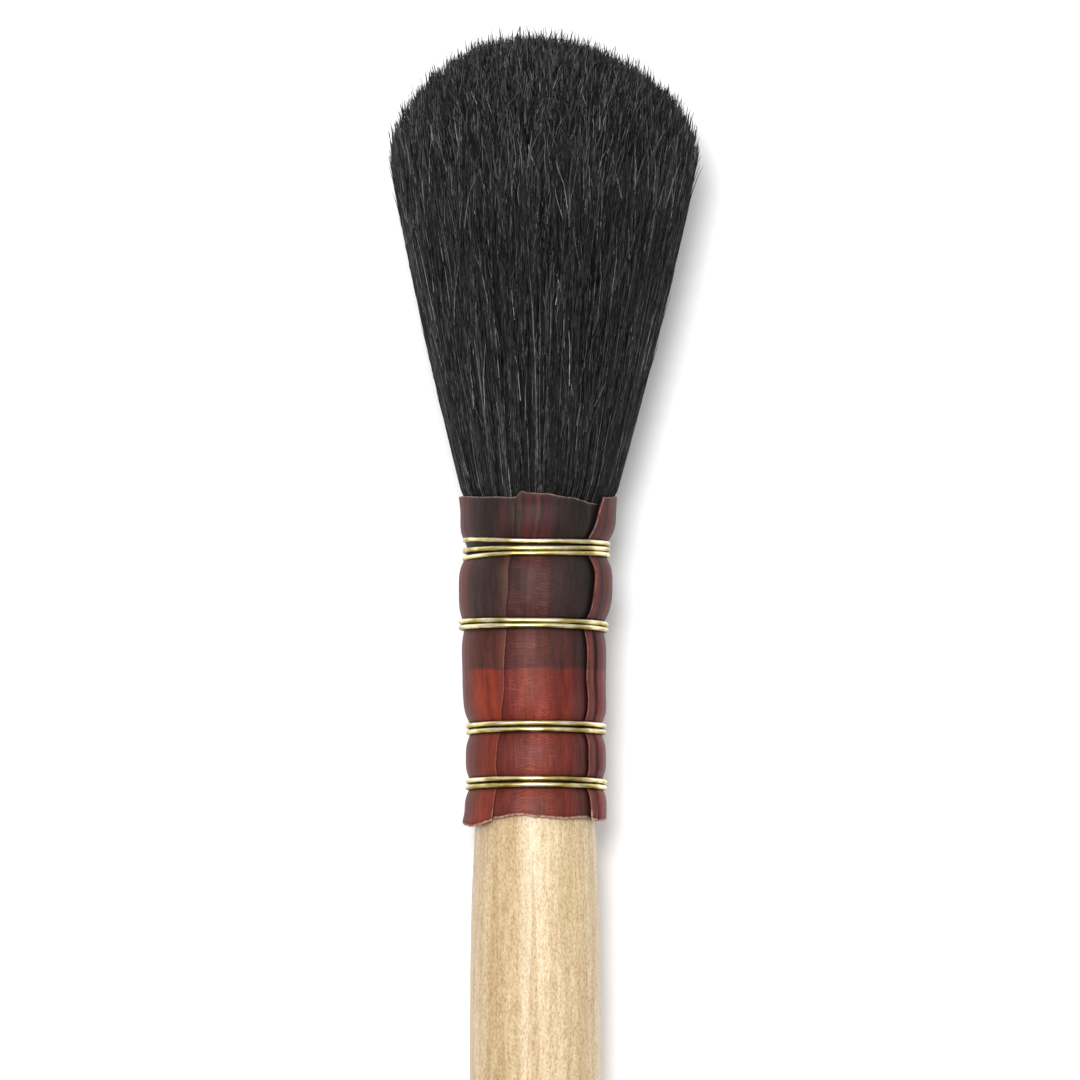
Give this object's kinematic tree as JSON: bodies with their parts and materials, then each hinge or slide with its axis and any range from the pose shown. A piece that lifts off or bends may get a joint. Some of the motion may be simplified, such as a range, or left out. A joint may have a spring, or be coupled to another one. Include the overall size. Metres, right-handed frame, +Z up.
{
  "type": "calligraphy brush",
  "caption": "Round mop-style calligraphy brush with a domed soft-hair tuft, a wire-bound split-quill ferrule and a lacquered birch handle, lying at rest.",
  "frame": {"origin": "bottom centre of the bounding box, on the surface that the brush lies on", "axes": "+X from the butt of the handle toward the hair, +Z up; the brush's own axis climbs toward the hair by 2.81 degrees because it rests on the tuft's shoulder and on the butt"},
  "size_m": [0.2348, 0.0282, 0.0279],
  "materials": {
    "birch": "clear gloss lacquer",
    "glue": "dried glue",
    "quill": "dyed translucent quill, polished",
    "brass_wire": "bright drawn wire",
    "resin": "cured resin",
    "thread": "waxed cotton",
    "hair": "fine soft hair, slight sheen"
  },
  "bodies": {
    "brush": {"handle": "birch", "tenon_glue": "glue", "quill_inner": "quill", "quill_outer": "quill", "wire_band_1": "brass_wire", "wire_band_2": "brass_wire", "wire_band_3": "brass_wire", "wire_band_4": "brass_wire", "root_plug": "resin", "tie_thread": "thread", "hair_root": "hair"},
    "tuft": {"hair_tuft": "hair"}
  },
  "joints": [
    {"name": "tuft_bend", "type": "hinge", "parent": "brush", "child": "tuft", "pos_m": [0.0761, 0, 0.01234], "axis": [-0.049, 0, 0.9988], "range_deg": [-45, 45], "stiffness_Nm_per_rad": 0.02}
  ]
}
